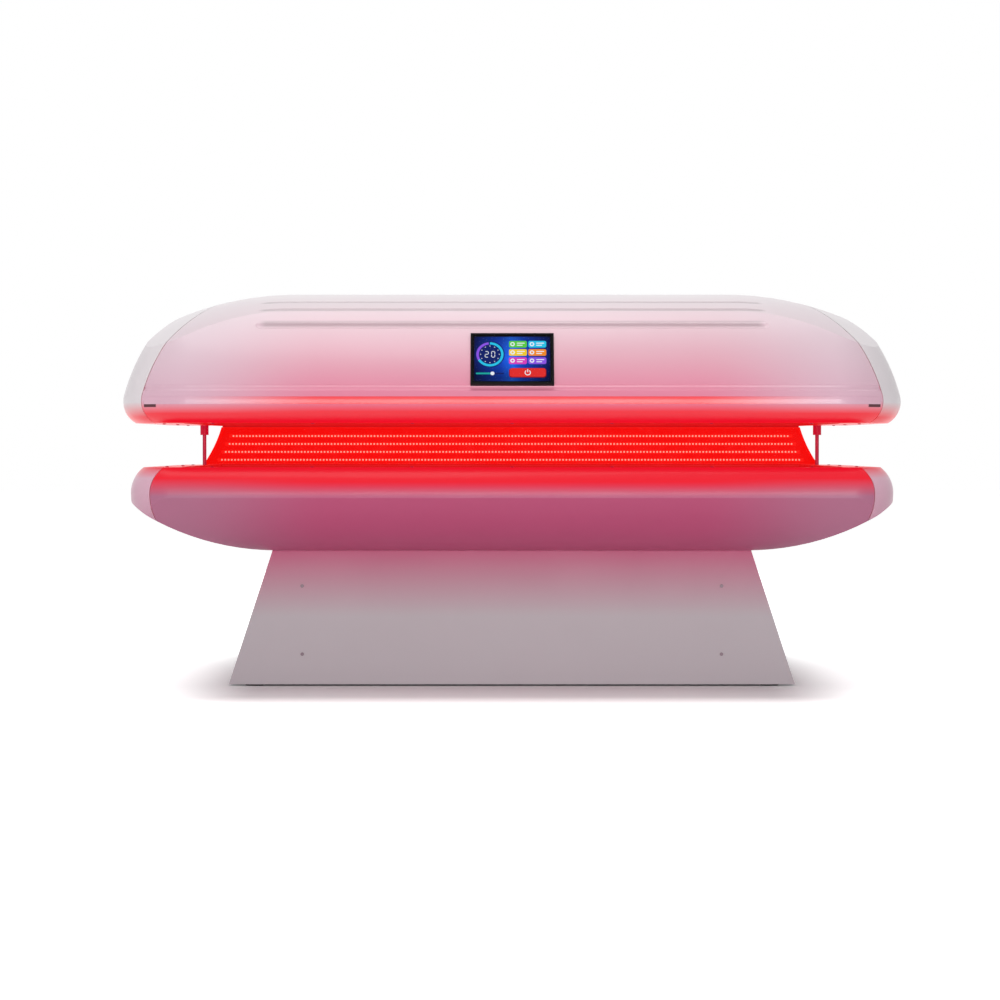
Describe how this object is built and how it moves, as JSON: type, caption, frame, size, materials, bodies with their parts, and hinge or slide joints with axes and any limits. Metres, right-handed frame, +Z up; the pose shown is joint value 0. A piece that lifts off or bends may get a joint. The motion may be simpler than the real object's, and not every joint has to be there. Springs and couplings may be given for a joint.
{
  "type": "red light therapy bed",
  "caption": "Clamshell red light therapy bed: boat-shaped bed on a sheet metal base, domed canopy hinged at the back on gas struts, lit acrylic inside and a front touch screen.",
  "frame": {"origin": "centre of the bounding box on the floor", "axes": "+X along the length, front (screen side) at -Y, +Z up"},
  "size_m": [2.2098, 1.15, 1.1398],
  "materials": {
    "canopy_white": "pearl white, satin gloss",
    "bed_white": "pearl white, satin gloss",
    "cap_white": "pearl white, satin gloss",
    "rail_light": "glossy trim",
    "trim_dark": "matt",
    "deck_red": "glossy, lit red",
    "acrylic": "clear acrylic, lit red",
    "liner_red": "glossy, lit red",
    "wall_red": "glossy, lit red",
    "tray_metal": "bright reflector sheet",
    "led_strip": "light strip",
    "rib_metal": "mill finish",
    "frame_metal": "powder coat",
    "panel_grey": "light grey powder coat",
    "pad_rubber": "matt",
    "bright_metal": "satin",
    "strut_chrome": "polished",
    "strut_dark": "satin, lit red",
    "screen_black": "gloss black",
    "screen_blue": "lit display",
    "screen_cover": "clear cover glass",
    "fan_black": "matt",
    "board_green": "circuit board",
    "inlet_black": "matt",
    "rocker_red": "gloss"
  },
  "bodies": {
    "bed": {"base_frame": "frame_metal", "base_front_panel": "panel_grey", "base_rear_panel": "panel_grey", "base_left_panel": "panel_grey", "base_right_panel": "panel_grey", "base_feet": "pad_rubber", "base_panel_screws": "bright_metal", "equipment_tray": "frame_metal", "led_power_supplies": "bright_metal", "control_board": "board_green", "power_inlet": "inlet_black", "base_fan_frames": "fan_black", "fan_guards": "bright_metal", "bed_frame": "frame_metal", "bed_shell": "bed_white", "bed_left_end_cap": "cap_white", "bed_right_end_cap": "cap_white", "bed_deck": "deck_red", "bed_light_tray": "tray_metal", "bed_led_strips": "led_strip", "bed_acrylic": "acrylic", "rear_wall_housing": "wall_red", "rear_wall_led_strips": "led_strip", "rear_wall_acrylic": "acrylic", "hinge_lower_leaves": "bright_metal", "hinge_pins": "bright_metal", "strut_foot_brackets": "bright_metal"},
    "canopy": {"canopy_shell": "canopy_white", "canopy_left_end_cap": "cap_white", "canopy_right_end_cap": "cap_white", "canopy_front_rail": "rail_light", "canopy_trim_plugs": "trim_dark", "canopy_deck": "deck_red", "canopy_ribs": "rib_metal", "canopy_spine": "rib_metal", "canopy_light_tray": "tray_metal", "canopy_led_strips": "led_strip", "canopy_acrylic": "acrylic", "canopy_end_liners": "liner_red", "hinge_upper_leaves": "bright_metal", "strut_head_brackets": "bright_metal", "canopy_fan_frames": "fan_black", "screen_housing": "screen_black", "screen_display": "screen_blue", "screen_glass": "screen_cover"},
    "left_rod": {"left_strut_rod": "strut_chrome"},
    "left_tube": {"left_strut_tube": "strut_dark"},
    "right_rod": {"right_strut_rod": "strut_chrome"},
    "right_tube": {"right_strut_tube": "strut_dark"},
    "base_fan_left": {"base_fan_left_impeller": "fan_black"},
    "base_fan_right": {"base_fan_right_impeller": "fan_black"},
    "canopy_fan_left": {"canopy_fan_left_impeller": "fan_black"},
    "canopy_fan_right": {"canopy_fan_right_impeller": "fan_black"},
    "rocker": {"inlet_rocker": "rocker_red"}
  },
  "joints": [
    {"name": "canopy_hinge", "type": "hinge", "parent": "bed", "child": "canopy", "pos_m": [0, 0.54, 0.744], "axis": [-1, 0, 0], "range_deg": [0, 45]},
    {"name": "left_strut_pivot", "type": "hinge", "parent": "bed", "child": "left_rod", "pos_m": [-0.967, 0.4, 0.6], "axis": [-1, 0, 0], "range_deg": [-1, 23]},
    {"name": "left_strut_slide", "type": "slide", "parent": "left_rod", "child": "left_tube", "axis": [0, 0, 1], "range_m": [-0.002, 0.0955]},
    {"name": "right_strut_pivot", "type": "hinge", "parent": "bed", "child": "right_rod", "pos_m": [0.967, 0.4, 0.6], "axis": [-1, 0, 0], "range_deg": [-1, 23]},
    {"name": "right_strut_slide", "type": "slide", "parent": "right_rod", "child": "right_tube", "axis": [0, 0, 1], "range_m": [-0.002, 0.0955]},
    {"name": "base_fan_left_spin", "type": "hinge", "parent": "bed", "child": "base_fan_left", "pos_m": [-0.4, 0.3155, 0.19], "axis": [0, 1, 0], "continuous": true},
    {"name": "base_fan_right_spin", "type": "hinge", "parent": "bed", "child": "base_fan_right", "pos_m": [0.4, 0.3155, 0.19], "axis": [0, 1, 0], "continuous": true},
    {"name": "canopy_fan_left_spin", "type": "hinge", "parent": "canopy", "child": "canopy_fan_left", "pos_m": [-0.5, 0.54127, 0.89275], "axis": [0, 0.9272, 0.3746], "continuous": true},
    {"name": "canopy_fan_right_spin", "type": "hinge", "parent": "canopy", "child": "canopy_fan_right", "pos_m": [0.5, 0.54127, 0.89275], "axis": [0, 0.9272, 0.3746], "continuous": true},
    {"name": "rocker_tilt", "type": "hinge", "parent": "bed", "child": "rocker", "pos_m": [0.52, 0.328, 0.218], "axis": [1, 0, 0], "range_deg": [-8, 8]}
  ],
  "couplings": [
    {"joint": "left_strut_pivot", "follows": "canopy_hinge", "ratio": 0.458},
    {"joint": "left_strut_slide", "follows": "canopy_hinge", "m_per_rad": 0.1165},
    {"joint": "right_strut_pivot", "follows": "canopy_hinge", "ratio": 0.458},
    {"joint": "right_strut_slide", "follows": "canopy_hinge", "m_per_rad": 0.1165}
  ]
}
